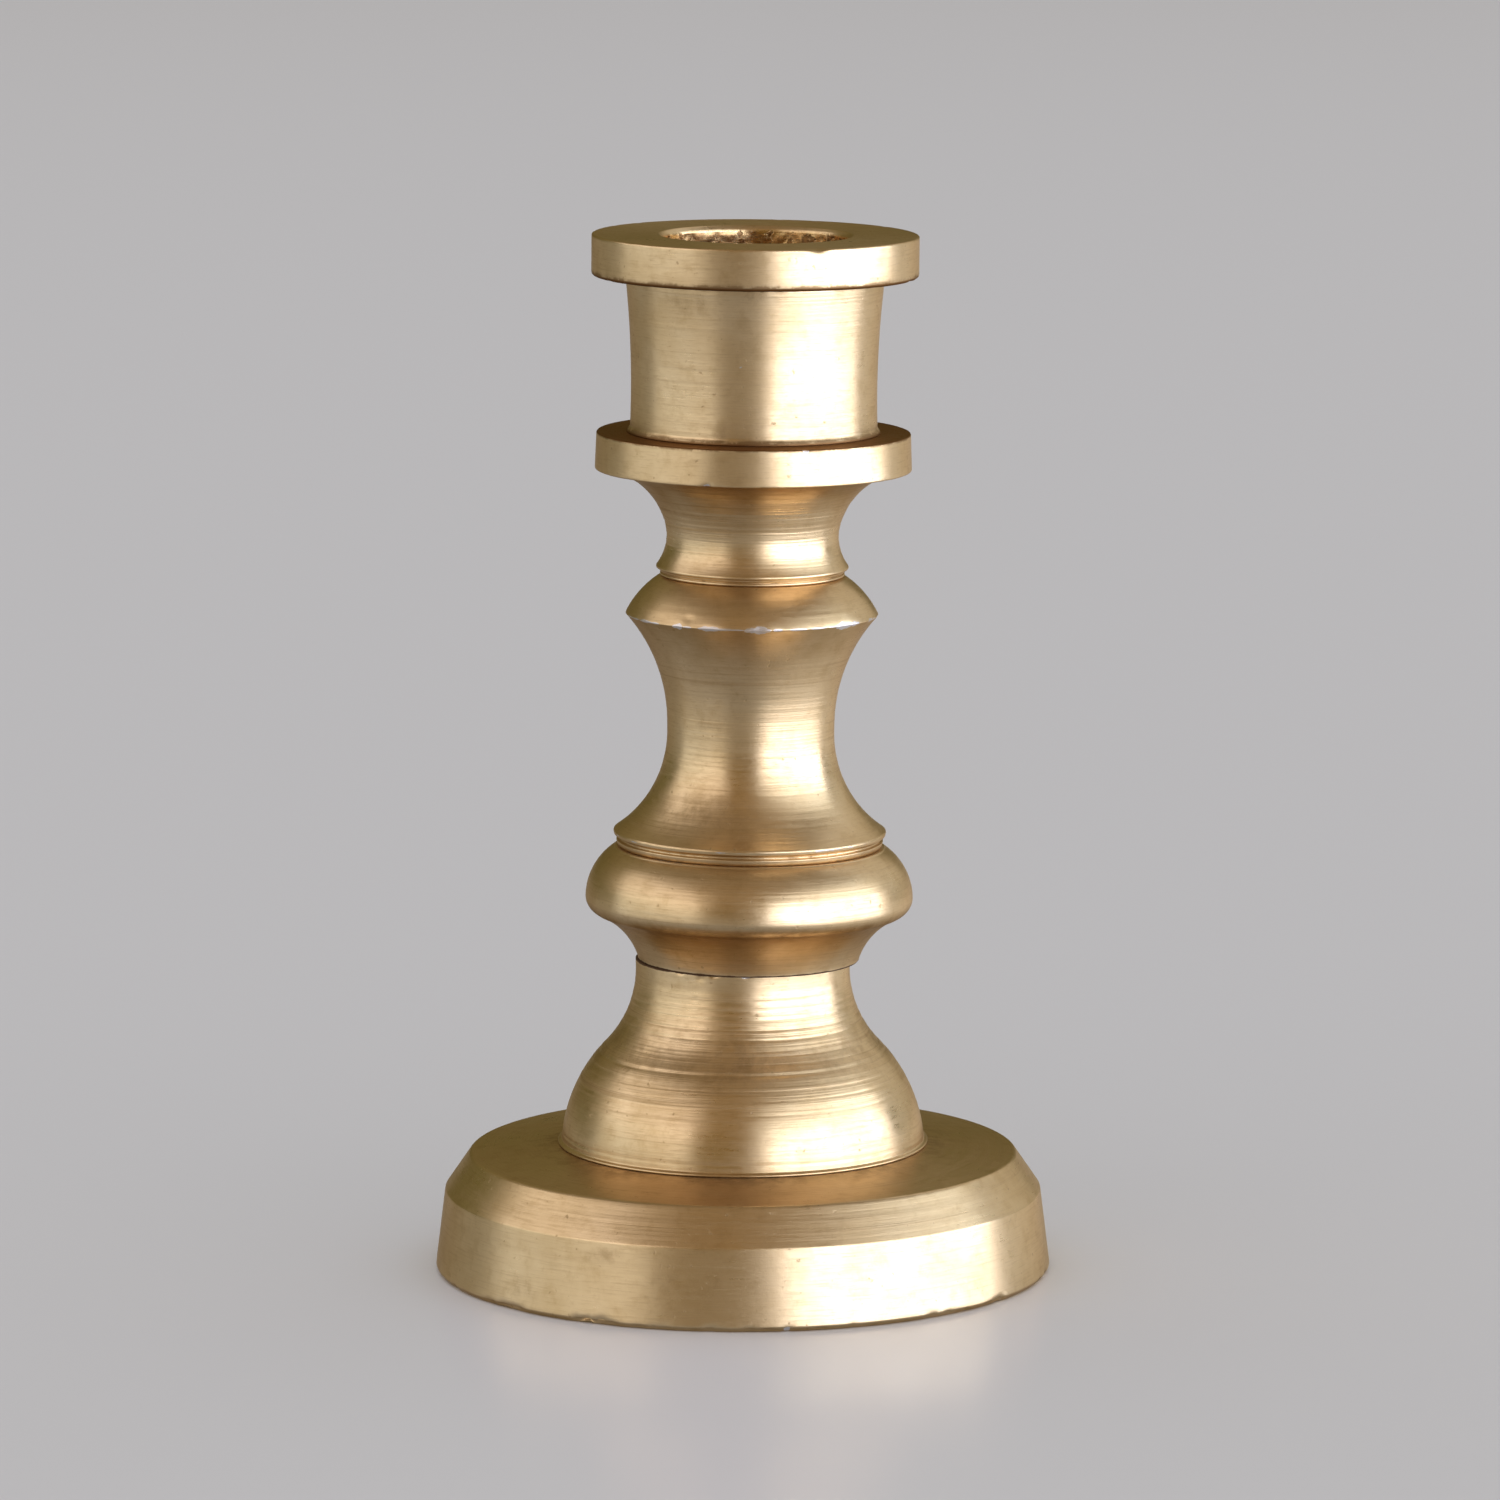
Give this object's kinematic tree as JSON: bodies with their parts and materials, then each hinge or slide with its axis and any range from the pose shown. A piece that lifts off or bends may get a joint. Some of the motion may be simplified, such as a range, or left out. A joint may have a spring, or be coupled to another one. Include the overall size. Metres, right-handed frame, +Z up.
{
  "type": "candlestick",
  "caption": "Small turned brass candlestick: round stepped base, waisted stem with rings, drip pan and a thick-rimmed cup bored for a slim taper.",
  "frame": {"origin": "centre of the underside, on the table", "axes": "+Z up, along the candlestick's own axis; the object is turned, so +X and +Y are alike"},
  "size_m": [0.045, 0.045, 0.076],
  "materials": {
    "base_plate": "satin, finely turned",
    "base_dome": "satin, with clear turning lines at the neck",
    "collar": "satin, finely turned",
    "baluster": "satin, finely turned, worn to a pale metal on the knop's edge",
    "neck_and_pan": "satin, with clear turning lines at the neck",
    "candle_cup": "satin outside, rough inside the socket",
    "tie_rod": "threaded at both ends",
    "washer": "plain",
    "nut": "plain"
  },
  "bodies": {
    "root": {"base_plate": "base_plate", "base_dome": "base_dome", "collar": "collar", "baluster": "baluster", "neck_and_pan": "neck_and_pan", "candle_cup": "candle_cup", "tie_rod": "tie_rod", "washer": "washer", "nut": "nut"}
  },
  "joints": []
}
